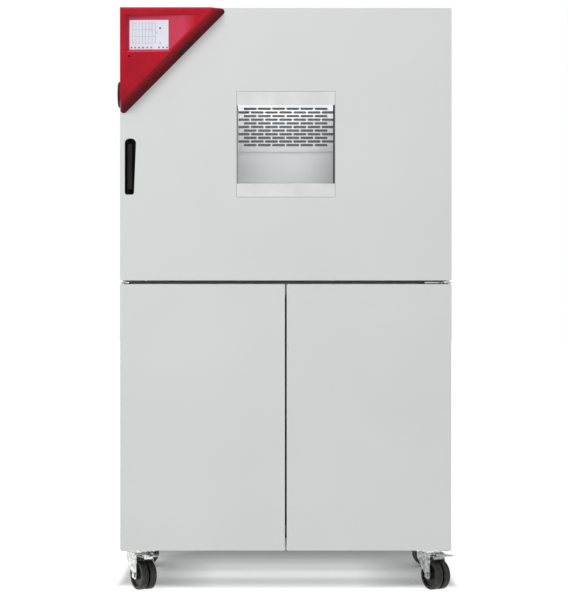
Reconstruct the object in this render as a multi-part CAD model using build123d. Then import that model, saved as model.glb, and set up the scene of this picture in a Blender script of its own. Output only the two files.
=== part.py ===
from build123d import *

import os
from math import atan2, cos, hypot, pi, radians, sin, tan

# Floor-standing climate test chamber: insulated test space above, machine compartment below.
# Millimetres, +Z up, the front faces -Y, the origin is on the floor under the middle.

# Whole cabinet
cabinet_width = 885.0
cabinet_depth = 650.0
base_height = 117.0
lower_door_height = 711.0
upper_door_height = 727.0
door_gap = 10.0
sheet = 2.0
fit = 0.3
running_fit = 0.05

# Doors
upper_door_thickness = 75.0
lower_door_thickness = 24.0
lower_door_split = 5.0
lower_door_seat = 3.0
gasket_gap = 10.0
door_corner_radius = 4.0
door_skin = 1.5
liner_depth = 6.0

# Test space
chamber_width = 600.0
chamber_height = 480.0
chamber_depth = 400.0
plenum_depth = 108.0
liner_sheet = 1.5
front_frame_depth = 25.0
gasket_width = 26.0
gasket_margin = 14.0

# Window
window_width = 262.0
window_height = 281.0
glass_width = 256.0
glass_height = 210.0
pane_thickness = 5.0
window_lip = 2.0
window_groove = 1.2

# Air baffle
slot_rows = 11
slots_in_long_row = 7
slot_length = 36.5
slot_height = 5.5
slot_pitch = 41.4
slot_row_pitch = 10.6
slot_top_drop = 97.5
baffle_lip = 9.0
baffle_lip_drop = 222.5
baffle_foot_gap = 45.0

# Frame, panels
flange = 20.0
base_bar = 40.0
front_bar = 30.0
pan_rim = 18.0
louvre_count = 9
louvre_length = 260.0
louvre_height = 6.0
louvre_pitch = 24.0
hood_rise = 7.0
hood_height = 15.0
hood_sheet = 1.5

# Hinges
hinge_inset = 12.0
hinge_back = 20.0
hinge_plate = 4.0
hinge_pin_radius = 6.0
hinge_pin_length = 22.0
lower_pivot_inset = 7.0
lower_pivot_back = 14.0
lower_pin_radius = 4.0
lower_pin_length = 14.0
hinge_reach = 70.0

# Handle
handle_width = 30.2
handle_taper = 6.0
handle_height = 149.7
handle_inset = 12.8
handle_drop = 348.3
handle_depth = 30.0
pocket_wall = 2.0
lever_width = 15.0
lever_thickness = 6.0
lever_sink = 4.0
lever_pin_radius = 2.5

# Controller housing
controller_width = 278.0
controller_height = 280.0
controller_depth = 35.0
controller_bevel = 25.0
controller_draft = 1.5
controller_chamfer = 8.0
chamfer_depth = 4.5
controller_edge = 1.0
controller_tip_radius = 9.0
controller_wall = 4.0
recess_left = 17.0
recess_right = 235.0
recess_top = 21.0
recess_bottom = 122.0
recess_depth = 12.0
recess_ledge = 8.0
display_width = 104.0
display_height = 78.0
display_thickness = 6.0
display_left = 26.4
display_drop = 35.0
cover_length = 61.0
cover_from_tip = 158.0
cover_edge = 7.0
cover_width = 10.0
cover_thickness = 2.4

# Port through the left wall
port_radius = 25.0
port_wall = 3.0
port_y = -40.0
port_rise = 162.0
port_flange_radius = 36.6
port_flange = 5.0
plug_cap = 24.0
plug_length = 150.0

# Fan and coils
fan_rise = 121.5
fan_radius = 95.0
fan_depth = 34.0
fan_blades = 12
fan_shaft_radius = 6.0
fan_behind_baffle = 28.0
motor_radius = 60.0
motor_flange_radius = 74.0
motor_out = 32.0
motor_in = 34.0

# Casters
caster_x = 397.0
caster_y = 215.0
caster_yaw = 31.0
rear_caster_yaw = 100.0
caster_trail = 20.0
wheel_radius = 40.0
tyre_width = 20.0
wheel_gap = 4.0
axle_radius = 4.0
kingpin_radius = 6.0
caster_pad = 8.0
caster_plate = 4.0
caster_plate_width = 88.0
caster_plate_depth = 74.0
race_height = 6.0
fork_sheet = 3.0
fork_clearance = 2.0
pedal_width = 30.0
pedal_pin = 1.6

# Machine compartment
compressor_radius = 88.0
compressor_height = 215.0
compressor_x = 215.0
compressor_y = 20.0
condenser_width = 360.0
condenser_height = 300.0
condenser_depth = 46.0
condenser_x = 200.0
condenser_fan_radius = 120.0
coil_tube_radius = 5.0
can_width = 150.0
can_depth = 210.0
can_height = 250.0
box_width = 300.0
box_height = 360.0
box_depth = 120.0
humidifier_radius = 55.0
humidifier_height = 210.0
steam_pipe_radius = 11.0
switch_y = 60.0
switch_z = 700.0
switch_radius = 22.0
switch_out = 26.5

# Places that follow from the sizes above
half_width = cabinet_width / 2
front_y = -cabinet_depth / 2
rear_y = cabinet_depth / 2
lower_top = base_height + lower_door_height
upper_bottom = lower_top + door_gap
top_z = upper_bottom + upper_door_height
middle_z = upper_bottom + upper_door_height / 2
port_z = middle_z + port_rise
fan_z = middle_z + fan_rise
body_front = front_y + upper_door_thickness + gasket_gap
door_back = front_y + upper_door_thickness
deck_z = upper_bottom - 6.0
inside_y = rear_y - sheet
chamber_left = -chamber_width / 2
chamber_right = chamber_width / 2
chamber_floor = middle_z - chamber_height / 2
chamber_ceiling = middle_z + chamber_height / 2
vessel_front = body_front + front_frame_depth
baffle_y = body_front + chamber_depth
vessel_back = baffle_y + plenum_depth
inner_x = half_width - flange
lower_back = front_y + lower_door_thickness
lower_frame_y = lower_back + lower_door_seat
hinge_x = half_width - hinge_inset
hinge_y = door_back - hinge_back
bush_radius = hinge_inset - door_skin - fit
# the housing's sloping edge runs between these legs, and its rounded tips end before them
lean = atan2(controller_height, controller_width)
leg_x = controller_width + controller_tip_radius * (1 / tan(lean / 2) - 1)
leg_z = controller_height + controller_tip_radius * (1 / tan((pi / 2 - lean) / 2) - 1)
pivot_x = half_width - lower_pivot_inset
pivot_y = lower_back - lower_pivot_back
base_top = base_height + base_bar
pan_z = base_top
caster_top = base_height - caster_pad
plate_bottom = caster_top - caster_plate
race_bottom = plate_bottom - race_height
fork_top = race_bottom - fit
wheel_half = tyre_width + wheel_gap / 2
leg_inner = wheel_half + fork_clearance
centre_plate_z = lower_top + (door_gap - hinge_plate) / 2 - 0.5


def block(x, y, z):
    sizes = [abs(pair[1] - pair[0]) for pair in (x, y, z)]
    return Pos(sum(x) / 2, sum(y) / 2, sum(z) / 2) * Box(*sizes)


def rod(radius, start, end):
    way = Vector(*end) - Vector(*start)
    align = (Align.CENTER, Align.CENTER, Align.MIN)
    return Plane(origin=start, z_dir=way) * Cylinder(radius, way.length, align=align)


def front_plane(y=0.0, x=0.0, z=0.0):
    return Plane(origin=(x, y, z), x_dir=(1, 0, 0), z_dir=(0, -1, 0))


def slab(sketch, y, thickness):
    # a flat outline drawn in x and z, from y backwards by its thickness
    return extrude(front_plane(y) * sketch, amount=-thickness)


def rounded(width, height, radius, x=0.0, z=0.0):
    return Pos(x, z) * RectangleRounded(width, height, radius)


def ring(outer_width, outer_height, inner_width, inner_height, y, depth, z=middle_z, radius=0.0):
    outer = Rectangle(outer_width, outer_height)
    if radius:
        outer = RectangleRounded(outer_width, outer_height, radius)
    return slab(Pos(0, z) * (outer - Rectangle(inner_width, inner_height)), y, depth)


# Base and cabinet sheet metal

def caster_places():
    sides = (("front_left", -1, -1), ("front_right", 1, -1), ("rear_left", -1, 1), ("rear_right", 1, 1))
    return {name: (across * caster_x, along * caster_y) for name, across, along in sides}


def base_frame():
    reach_x = inner_x - fit
    y = (body_front + fit, inside_y - fit)
    z = (base_height, base_top)
    frame = block((-reach_x, reach_x), y, z)
    bay = reach_x - base_bar
    middle = base_bar / 2
    for across in (-1, 1):
        hole_x = (across * middle, across * bay)
        frame -= block(hole_x, (y[0] + base_bar, y[1] - base_bar), z)
    pad_x, pad_y = caster_plate_width / 2, caster_plate_depth / 2
    # the casters' pads end at the frame's edge, beside the feet of the lower hinges
    below = block((-reach_x, reach_x), y, (caster_top, base_height))
    for x, place_y in caster_places().values():
        pad = block((x - pad_x, x + pad_x), (place_y - pad_y, place_y + pad_y), (caster_top, base_height))
        frame += pad & below
    # the floor sheet of the machine compartment is welded on top, with a low rim
    frame += block((-reach_x, reach_x), y, (base_top, pan_z + pan_rim))
    inner = (y[0] + sheet, y[1] - sheet)
    return frame - block((sheet - reach_x, reach_x - sheet), inner, (pan_z + sheet, pan_z + pan_rim))


def louvre_bank(panel, plane, count, length):
    # slots in a panel under pressed hoods that open downwards; the plane lies on the panel's outer face
    def section(rise, height):
        arc = ThreePointArc((0, rise), (height * 0.72, rise * 0.72), (height, 0))
        return make_face(Polyline((height, 0), (0, 0), (0, rise)).edges() + [arc])

    def prism(face, half):
        return extrude(Plane(origin=(-half, 0, 0), x_dir=(0, 1, 0), z_dir=(1, 0, 0)) * face, amount=2 * half)

    half = length / 2
    hood = prism(section(hood_rise, hood_height), half + hood_sheet)
    hood -= prism(section(hood_rise - hood_sheet, hood_height - 2 * hood_sheet), half)
    slot = extrude(SlotOverall(length, louvre_height), amount=4 * sheet)
    slot = Pos(0, hood_sheet + louvre_height / 2, -4 * sheet) * slot
    start = -(count - 1) / 2 * louvre_pitch
    places = [Pos(0, start + i * louvre_pitch, 0) for i in range(count)]
    panel += [plane * (place * hood) for place in places]
    return panel - [plane * (place * slot) for place in places]


def side_panel(side):
    y = (body_front, inside_y)
    z = (base_height, top_z - sheet)
    panel = block((side * half_width, side * inner_x), y, z)
    hollow = (side * (half_width - sheet), side * inner_x)
    panel -= block(hollow, (y[0] + sheet, y[1] - sheet), (z[0] + sheet, z[1] - sheet))
    middle = (side * half_width, 0, base_height + lower_door_height / 2)
    face = Plane(origin=middle, x_dir=(0, side, 0), z_dir=(side, 0, 0))
    panel = louvre_bank(panel, face, louvre_count, louvre_length)
    if side < 0:
        start = (-half_width - 1, port_y, port_z)
        panel -= rod(port_radius + port_wall + fit, start, (-inner_x, port_y, port_z))
    else:
        start = (half_width + 1, switch_y, switch_z)
        panel -= rod(switch_radius * 0.5, start, (inner_x, switch_y, switch_z))
    return panel


def lower_front_frame():
    y = (lower_frame_y, body_front - fit)
    width = cabinet_width - 2.0
    z = (base_height, lower_top)
    middle = (z[0] + z[1]) / 2
    height = z[1] - z[0]
    frame = ring(width, height, width - 2 * front_bar, height - 2 * front_bar, y[0], y[1] - y[0], middle)
    inset = front_bar - sheet
    channel = ring(
        width - 2 * sheet, height - 2 * sheet, width - 2 * inset, height - 2 * inset,
        y[0] + sheet, y[1] - y[0] - sheet, middle,
    )
    return frame - channel


def mid_deck():
    reach_x = inner_x - fit
    y = (body_front + fit, inside_y - fit)
    rim = 18.0
    deck = block((-reach_x, reach_x), y, (deck_z - rim, deck_z))
    inner = (y[0] + sheet, y[1] - sheet)
    deck -= block((sheet - reach_x, reach_x - sheet), inner, (deck_z - rim, deck_z - sheet))
    x, y = humidifier_place()
    return deck - rod(steam_pipe_radius + 2.0, (x, y, deck_z - rim), (x, y, deck_z))


def humidifier_place():
    return -compressor_x, baffle_y - humidifier_radius


def top_panel():
    return block((-half_width, half_width), (body_front, rear_y), (top_z - sheet, top_z))


def upper_rear_panel():
    panel = block((1 - half_width, half_width - 1), (inside_y, rear_y), (deck_z, top_z - sheet - fit))
    return panel - rod(motor_radius + 1.0, (0, inside_y, fan_z), (0, rear_y, fan_z))


def fitting_places():
    x = electrical_x()
    return {"power": (x + 90.0, 245.0), "inlet": (x - 60.0, 300.0), "drain": (x - 60.0, 230.0)}


def machine_rear_panel():
    z = (base_height + fit, deck_z - fit)
    panel = block((1 - half_width, half_width - 1), (inside_y, rear_y), z)
    face = Plane(origin=(condenser_x, rear_y, condenser_level()), x_dir=(-1, 0, 0), z_dir=(0, 1, 0))
    panel = louvre_bank(panel, face, louvre_count, condenser_width * 0.8)
    for x, place_z in fitting_places().values():
        panel -= rod(8.0 + fit, (x, inside_y, place_z), (x, rear_y, place_z))
    return panel


# Insulated test space

def front_frame():
    width = 2 * (inner_x - fit)
    height = top_z - sheet - fit - (deck_z + fit)
    middle = (top_z - sheet - fit + deck_z + fit) / 2
    outer = Pos(0, middle) * Rectangle(width, height)
    outer -= rounded(chamber_width, chamber_height, 12.0, 0, middle_z)
    return slab(outer, body_front, front_frame_depth)


def chamber_insulation():
    x_out = inner_x - fit
    x_in = chamber_width / 2 + liner_sheet + fit
    z = (deck_z + fit, top_z - sheet - fit)
    low = chamber_floor - liner_sheet - fit
    high = chamber_ceiling + liner_sheet + fit
    y = (vessel_front + fit, inside_y - fit)
    inner = x_in - fit
    left = block((-x_out, -x_in), y, z)
    left -= rod(port_radius + port_wall + fit, (-x_out, port_y, port_z), (-x_in, port_y, port_z))
    right = block((x_in, x_out), y, z)
    bottom = block((-inner, inner), y, (z[0], low))
    x, place_y = humidifier_place()
    bottom -= rod(steam_pipe_radius + 2.0, (x, place_y, z[0]), (x, place_y, low))
    top = block((-inner, inner), y, (high, z[1]))
    back = (vessel_back + liner_sheet + fit, y[1])
    rear = block((-inner, inner), back, (low + fit, high - fit))
    rear -= rod(fan_shaft_radius + 4.0, (0, back[0], fan_z), (0, back[1], fan_z))
    rear -= rod(motor_radius + 1.0, (0, rear_y - motor_in, fan_z), (0, back[1], fan_z))
    return Compound(children=[left, right, bottom, top, rear])


def inner_vessel():
    y = (vessel_front + fit, vessel_back + liner_sheet)
    grown = liner_sheet
    x = (chamber_left, chamber_right)
    z = (chamber_floor, chamber_ceiling)
    vessel = block((x[0] - grown, x[1] + grown), y, (z[0] - grown, z[1] + grown))
    vessel -= block(x, (y[0], vessel_back), z)
    vessel -= rod(port_radius + port_wall + fit, (x[0] - 5, port_y, port_z), (x[0] + 5, port_y, port_z))
    place_x, place_y = humidifier_place()
    vessel -= rod(steam_pipe_radius + fit, (place_x, place_y, z[0] - 5), (place_x, place_y, z[0] + 5))
    return vessel - rod(fan_shaft_radius + 4.0, (0, vessel_back, fan_z), (0, y[1], fan_z))


def air_baffle():
    half = chamber_width / 2 - 1.0
    z = (chamber_floor + baffle_foot_gap, chamber_ceiling - 1.0)
    face = Pos(0, (z[0] + z[1]) / 2) * Rectangle(2 * half, z[1] - z[0])
    for row in range(slot_rows):
        count = slots_in_long_row - (row + 1) % 2
        row_z = chamber_ceiling - slot_top_drop - row * slot_row_pitch
        for column in range(count):
            x = (column - (count - 1) / 2) * slot_pitch
            face -= Pos(x, row_z) * SlotOverall(slot_length, slot_height)
    plate = slab(face, baffle_y, liner_sheet)
    lip_z = chamber_ceiling - baffle_lip_drop
    plate += block((-half, half), (baffle_y - baffle_lip, baffle_y), (lip_z - liner_sheet, lip_z))
    for side in (-1, 1):
        edge = (side * half, side * (half - liner_sheet))
        plate += block(edge, (baffle_y, vessel_back - fit), z)
    return plate


def shelf_rails():
    rails = []
    shelf_z = rail_height()
    for side in (-1, 1):
        wall = side * (chamber_width / 2 - fit)
        rail = Part()
        for along in (0.18, 0.78):
            y = body_front + front_frame_depth + (chamber_depth - front_frame_depth) * along
            post = (wall, wall - side * 3.0)
            rail += block(post, (y - 9, y + 9), (chamber_floor + fit, chamber_ceiling - fit))
        y = (vessel_front + 8.0, baffle_y - baffle_lip - 6.0)
        rail += block((wall - side * 3.0, wall - side * 5.0), y, (shelf_z - 18.0, shelf_z + 8.0))
        rail += block((wall - side * 3.0, wall - side * 20.0), y, (shelf_z - 2.0, shelf_z))
        rails.append(rail)
    return Compound(children=rails)


def rail_height():
    return chamber_floor + chamber_height * 0.18


def shelf():
    y = (vessel_front + 12.0, baffle_y - baffle_lip - 10.0)
    half = chamber_width / 2 - 8.0
    z = rail_height() + fit + 3.0
    edge = 3.0
    rods = []
    for place in (y[0] + edge, (y[0] + y[1]) / 2, y[1] - edge):
        rods.append(rod(edge, (-half, place, z), (half, place, z)))
    for side in (-1, 1):
        x = side * (half - edge)
        rods.append(rod(edge, (x, y[0], z), (x, y[1], z)))
    count = 19
    step = (2 * half - 2 * edge) / (count + 1)
    for i in range(count):
        x = edge - half + (i + 1) * step
        rods.append(rod(1.5, (x, y[0] + 1.0, z + 0.5), (x, y[1] - 1.0, z + 0.5)))
    return Part() + rods


def finned_coil(width, height, depth, centre, passes, fins):
    x, y, z = centre
    coil = Part()
    step = height / passes
    for i in range(passes):
        row = z - height / 2 + (i + 0.5) * step
        coil += rod(coil_tube_radius, (x - width / 2, y, row), (x + width / 2, y, row))
    pitch = (width - 24.0) / (fins - 1)
    for i in range(fins):
        fin_x = x - width / 2 + 12.0 + i * pitch
        fin = block((fin_x - 0.5, fin_x + 0.5), (y - depth / 2, y + depth / 2), (z - height / 2, z + height / 2))
        coil += fin
    for side in (-1, 1):
        end = x + side * width / 2
        first = 0 if side > 0 else 1
        for i in range(first, passes - 1, 2):
            low = z - height / 2 + (i + 0.5) * step
            bend = Plane(origin=(end, y, low + step / 2), x_dir=(1, 0, 0), z_dir=(0, -1, 0))
            path = bend * CenterArc((0, 0), step / 2, -90, side * 180)
            start = Plane(origin=path @ 0, z_dir=path % 0)
            coil += sweep(start * Circle(coil_tube_radius), path=path)
    return coil


def evaporator_coil():
    y = (baffle_y + liner_sheet + vessel_back) / 2
    height = 150.0
    z = chamber_floor + baffle_foot_gap + 20.0 + height / 2
    coil = finned_coil(chamber_width - 140.0, height, 60.0, (0, y, z), 4, 21)
    legs = Part()
    for side in (-1, 1):
        x = side * (chamber_width / 2 - 140.0)
        legs += block((x - 8, x + 8), (y + 20, vessel_back - fit), (z - height / 2, z - height / 2 + 30))
    return coil + legs


def heater_coil():
    y = baffle_y + fan_behind_baffle + fan_depth + 14.0
    path = front_plane(y, 0, fan_z) * CenterArc((0, 0), fan_radius + 6.0, -60, 300)
    start = Plane(origin=path @ 0, z_dir=path % 0)
    coil = sweep(start * Circle(4.0), path=path)
    for end in (path @ 0, path @ 1):
        coil += rod(4.0, tuple(end), (end.X, vessel_back - fit, end.Z))
    return coil


def fan_impeller():
    y = baffle_y + fan_behind_baffle
    back = y + fan_depth
    wheel = rod(fan_radius, (0, back - 2.0, fan_z), (0, back, fan_z))
    wheel += rod(20.0, (0, y, fan_z), (0, back, fan_z))
    inner = fan_radius * 0.62
    for i in range(fan_blades):
        blade = block((inner, fan_radius - 1.0), (y, back - 1.0), (-1.0, 1.0))
        turned = Rot(0, -25, 0) * (Pos(-fan_radius, 0, 0) * blade)
        blade = Pos(fan_radius, 0, 0) * turned
        wheel += Pos(0, 0, fan_z) * (Rot(0, 360.0 * i / fan_blades, 0) * blade)
    shaft_end = rear_y - motor_in + 26.0
    wheel += rod(fan_shaft_radius, (0, back - 1.0, fan_z), (0, shaft_end, fan_z))
    return wheel


def fan_motor():
    start = rear_y - motor_in + fit
    body = rod(motor_radius, (0, start, fan_z), (0, rear_y + motor_out - 6.0, fan_z))
    body += rod(motor_radius - 8.0, (0, rear_y + motor_out - 6.0, fan_z), (0, rear_y + motor_out, fan_z))
    body += rod(motor_flange_radius, (0, rear_y + fit, fan_z), (0, rear_y + 4.0, fan_z))
    bore = rod(fan_shaft_radius + running_fit, (0, start - 1, fan_z), (0, start + 28.0, fan_z))
    ribs = 10
    for i in range(ribs):
        run = (rear_y + 8.0, rear_y + motor_out - 8.0)
        groove = block((motor_radius - 3, motor_radius + 3), run, (-3, 3))
        body -= Pos(0, 0, fan_z) * (Rot(0, 360.0 * i / ribs, 0) * groove)
    return body - bore


def climate_probe():
    x = chamber_width / 2 - 45.0
    z = chamber_ceiling - 60.0
    probe = rod(7.0, (x, baffle_y - 70.0, z), (x, baffle_y - fit, z))
    return probe + rod(13.0, (x, baffle_y - 6.0, z), (x, baffle_y - fit, z))


def chamber_lamp():
    y = vessel_front + 30.0
    lamp = block((-140, 140), (y, y + 26), (chamber_ceiling - 12.0, chamber_ceiling - fit))
    return fillet(lamp.edges().filter_by(Axis.X).group_by(Axis.Z)[0], 5.0)


def port_sleeve():
    start = -half_width - port_flange
    end = chamber_left + 6.0
    outer = port_radius + port_wall
    sleeve = rod(outer, (start, port_y, port_z), (end, port_y, port_z))
    flange_end = (-half_width - fit, port_y, port_z)
    sleeve += rod(port_flange_radius, (start, port_y, port_z), flange_end)
    return sleeve - rod(port_radius, (start - 1, port_y, port_z), (end + 1, port_y, port_z))


def port_plug():
    face = -half_width - port_flange - fit
    out = -half_width - plug_cap - port_flange
    cap = rod(port_flange_radius, (face, port_y, port_z), (out, port_y, port_z))
    cap = fillet(cap.edges().group_by(Axis.X)[0], 5.0)
    body = Plane(origin=(face, port_y, port_z), z_dir=(1, 0, 0))
    seat = (Align.CENTER, Align.CENTER, Align.MIN)
    stem = body * Cone(port_radius - 0.3, port_radius - 1.5, plug_length, align=seat)
    return cap + stem


# Main door

def window_cut(y, depth, grow=0.0):
    return slab(Pos(0, middle_z) * Rectangle(window_width + grow, window_height + grow), y, depth)


def pocket_outline(grow):
    left = -half_width + handle_inset - grow
    top = top_z - handle_drop + grow
    low = top - handle_height - 2 * grow
    right = left + handle_width + 2 * grow
    corners = [(left, low), (right - handle_taper, low), (right, top), (left, top)]
    face = make_face(Polyline(*corners, close=True))
    points = face.vertices().sort_by(Axis.Y)
    face = fillet(points[:2], 6.0 + grow)
    return fillet(face.vertices().sort_by(Axis.Y)[-2:], 13.0 + grow)


def door_outer_skin():
    outline = rounded(cabinet_width, upper_door_height, door_corner_radius, 0, middle_z)
    skin = slab(outline, front_y, upper_door_thickness)
    inner_w = cabinet_width - 2 * door_skin
    inner_h = upper_door_height - 2 * door_skin
    inner = rounded(inner_w, inner_h, door_corner_radius - door_skin, 0, middle_z)
    skin -= slab(inner, front_y + door_skin, upper_door_thickness)
    skin -= window_cut(front_y, door_skin, 2 * window_groove)
    skin -= slab(pocket_outline(fit), front_y, door_skin)
    for z in (upper_bottom, top_z - door_skin):
        skin -= rod(bush_radius + fit, (hinge_x, hinge_y, z), (hinge_x, hinge_y, z + door_skin))
    return skin


def door_insulation():
    grow = 2 * (door_skin + fit)
    outline = rounded(cabinet_width - grow, upper_door_height - grow, door_corner_radius, 0, middle_z)
    start = front_y + door_skin + fit
    depth = door_back - liner_depth - fit - start
    core = slab(outline, start, depth)
    core -= window_cut(start, depth, 2 * fit)
    core -= slab(pocket_outline(pocket_wall + fit), start, handle_depth)
    for z in (upper_bottom, top_z - 60.0):
        core -= block((hinge_x - 25, half_width), (hinge_y - 25, hinge_y + 25), (z, z + 60.0))
    return core


def door_inner_liner():
    grow = 2 * (door_skin + fit)
    outline = rounded(cabinet_width - grow, upper_door_height - grow, door_corner_radius, 0, middle_z)
    start = door_back - liner_depth
    liner = slab(outline, start, liner_depth)
    liner -= window_cut(start, liner_depth, 2 * fit)
    for z in (upper_bottom, top_z - 60.0):
        liner -= block((hinge_x - 25, half_width), (start, door_back), (z, z + 60.0))
    return liner


def door_gasket():
    outer_w = chamber_width + 2 * (gasket_margin + gasket_width)
    outer_h = chamber_height + 2 * (gasket_margin + gasket_width)
    depth = gasket_gap - 2 * fit
    start = door_back + fit
    inner_w = outer_w - 2 * gasket_width
    inner_h = outer_h - 2 * gasket_width
    seal = ring(outer_w, outer_h, inner_w, inner_h, start, depth, middle_z, 16.0)
    groove = ring(outer_w - 14, outer_h - 14, inner_w + 14, inner_h + 14, start, depth - 3.0)
    return seal - groove


def window_frame():
    depth = upper_door_thickness
    frame = ring(window_width, window_height, glass_width, glass_height, front_y, depth)
    seat_w = glass_width + (window_width - glass_width) / 2
    for y in pane_fronts():
        cut = Rectangle(seat_w + fit, glass_height + 12.0 + fit)
        frame -= slab(Pos(0, middle_z) * cut, y - fit / 2, pane_thickness + fit)
    return frame


def pane_fronts():
    return front_y + window_lip, door_back - window_lip - pane_thickness


def window_panes():
    seat_w = glass_width + (window_width - glass_width) / 2
    panes = []
    for y in pane_fronts():
        panes.append(slab(Pos(0, middle_z) * Rectangle(seat_w, glass_height + 12.0), y, pane_thickness))
    return Compound(children=panes)


def door_hinge_bushes():
    depth = hinge_pin_length + 6.0
    bushes = []
    for z, way in ((upper_bottom, 1), (top_z, -1)):
        start = (hinge_x, hinge_y, z)
        bush = rod(bush_radius, start, (hinge_x, hinge_y, z + way * depth))
        low = sorted((z + way * (door_skin + fit), z + way * depth))
        bush += block((hinge_x - 24, half_width - door_corner_radius), (hinge_y - 22, hinge_y + 19), low)
        end = (hinge_x, hinge_y, z + way * (hinge_pin_length + 1))
        bush -= rod(hinge_pin_radius + running_fit, start, end)
        bushes.append(bush)
    return Compound(children=bushes)


def handle_pocket():
    depth = handle_depth
    tub = slab(pocket_outline(0.0), front_y, depth)
    tub += slab(pocket_outline(pocket_wall), front_y + door_skin + fit, depth - door_skin - fit)
    tub -= slab(pocket_outline(-pocket_wall), front_y, depth - pocket_wall)
    low, high = lever_span()
    x, y = lever_axis()
    for start, end in ((low - pocket_wall - 3, low + 10), (high - 10, high + pocket_wall + 3)):
        tub -= rod(lever_pin_radius + running_fit, (x, y, start), (x, y, end))
    return tub


def lever_axis():
    x = -half_width + handle_inset + pocket_wall + lever_thickness / 2 + 2.0
    return x, front_y + lever_sink + lever_thickness / 2 + 4.0


def lever_span():
    top = top_z - handle_drop
    return top - handle_height + pocket_wall + 0.5, top - pocket_wall - 0.5


def handle_lever():
    x, y = lever_axis()
    low, high = lever_span()
    half = lever_thickness / 2
    reach = lever_width - lever_thickness / 2
    profile = make_face(
        Polyline((0, half), (reach, half - 1.5), (reach + 1.5, -half), (reach, -half - 2.0), (0, -half)).edges()
        + [ThreePointArc((0, -half), (-half, 0), (0, half))]
    )
    body_low, body_high = low + 12.0, high - 12.0
    lever = extrude(Plane(origin=(x, y, body_low)) * profile, amount=body_high - body_low)
    return lever + rod(lever_pin_radius, (x, y, low - pocket_wall), (x, y, high + pocket_wall))


# Controller on the main door

def controller_corner():
    return -half_width + controller_edge, top_z - controller_edge


def hypotenuse():
    # unit vectors in x and z: along the sloping edge, and out of it
    length = hypot(leg_x, leg_z)
    along = (-leg_x / length, -leg_z / length)
    return along, (-along[1], along[0])


def triangle(inset, bevel, tip):
    x, z = controller_corner()
    length = hypot(leg_x, leg_z)
    run_x = leg_x - bevel * length / leg_z - inset * leg_x / leg_z
    run_z = leg_z - bevel * length / leg_x - inset * leg_z / leg_x
    corner = (x + inset, z - inset)
    points = [corner, (corner[0], z - run_z), (x + run_x, corner[1])]
    face = make_face(Polyline(*points, close=True))
    first = [v for v in face.vertices() if abs(v.X - corner[0]) + abs(v.Y - corner[1]) > 1.0]
    return fillet(first, tip)


def recess_slope():
    return recess_depth / (recess_right - recess_left)


def recess_cutter():
    # a wedge that runs out towards the right, with a sloping ledge below
    x, z = controller_corner()
    face = front_y - controller_depth
    left, right = x + recess_left, x + recess_right

    def section(level, depth):
        outline = Polyline((left, face - 1), (right + 2, face - 1), (left, face + depth), close=True)
        return Plane(origin=(0, 0, level)) * make_face(outline)

    low = z - recess_bottom
    full = section(low + recess_ledge, recess_depth)
    wedge = extrude(full, amount=recess_bottom - recess_top - recess_ledge)
    wedge += loft([section(low, 0.0), full], ruled=True)
    limit = triangle(controller_chamfer + 6.0, controller_bevel + 1.0, 3.0)
    return wedge & slab(limit, face - 2, recess_depth + 4)


def controller_cavity():
    start = front_y - controller_depth + recess_depth + controller_wall
    outline = triangle(controller_wall + controller_draft, controller_bevel + 2.0, 4.0)
    return slab(outline, start, front_y - start)


def display_plane():
    x, z = controller_corner()
    slope = recess_slope()
    length = hypot(1.0, slope)
    start = display_left - recess_left
    y = front_y - controller_depth + recess_depth - start * slope
    origin = (x + display_left, y, z - display_drop - display_height / 2)
    run, rise = 1 / length, slope / length
    return Plane(origin=origin, x_dir=(run, -rise, 0), z_dir=(-rise, -run, 0))


def display_block(grow, depth):
    face = Pos(display_width / 2, 0) * RectangleRounded(display_width + grow, display_height + grow, 2.0)
    start = display_plane().offset(0.6)
    return extrude(start * face, amount=-depth)


def controller_housing():
    # a chamfer runs along the top and the side, and the bevel along the slope from the door to the face
    share = 1 - chamfer_depth / controller_depth
    tip = controller_tip_radius
    base = front_plane(front_y) * triangle(0.0, 0.0, tip)
    middle = front_plane(front_y - controller_depth + chamfer_depth) * triangle(
        controller_draft, controller_bevel * share, tip * 0.7
    )
    face = front_plane(front_y - controller_depth) * triangle(controller_chamfer, controller_bevel, tip * 0.6)
    housing = loft([base, middle, face], ruled=True)
    housing -= controller_cavity()
    housing -= recess_cutter()
    housing -= display_block(2 * fit, controller_depth)
    housing -= cover_block(fit, cover_thickness + fit)
    x, z = controller_corner()
    hole = (x + recess_left + 9.0, z - recess_bottom - 9.5)
    start = (hole[0], front_y - controller_depth - 1, hole[1])
    return housing - rod(2.5, start, (hole[0], front_y, hole[1]))


def touch_display():
    return display_block(0.0, display_thickness)


def cover_plane():
    # on the sloping face, x along the slope's edge, y up the face, z out of it
    along, out = hypotenuse()
    x, z = controller_corner()
    edge_x = x + leg_x + along[0] * cover_from_tip
    edge_z = z + along[1] * cover_from_tip
    length = hypot(controller_bevel, controller_depth)
    run, rise = controller_bevel / length, controller_depth / length
    up = (-out[0] * run, -rise, -out[1] * run)
    normal = Vector(out[0] * controller_depth, -controller_bevel, out[1] * controller_depth).normalized()
    origin = (edge_x + up[0] * cover_edge, front_y + up[1] * cover_edge, edge_z + up[2] * cover_edge)
    x_dir = Vector(*up).cross(normal)
    return Plane(origin=origin, x_dir=x_dir, z_dir=normal)


def cover_block(grow, depth):
    face = Pos(0, cover_width / 2) * Rectangle(cover_length + 2 * grow, cover_width + 2 * grow)
    return extrude(cover_plane() * face, amount=-depth)


def port_cover():
    cover = cover_block(0.0, cover_thickness)
    plane = cover_plane()
    lower = [
        edge for edge in cover.edges()
        if abs(plane.to_local_coords(edge.center()).Y) < 0.01 and edge.length > cover_length - 1
    ]
    return fillet(lower, cover_thickness * 0.49)


# Lower doors and hinges

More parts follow.
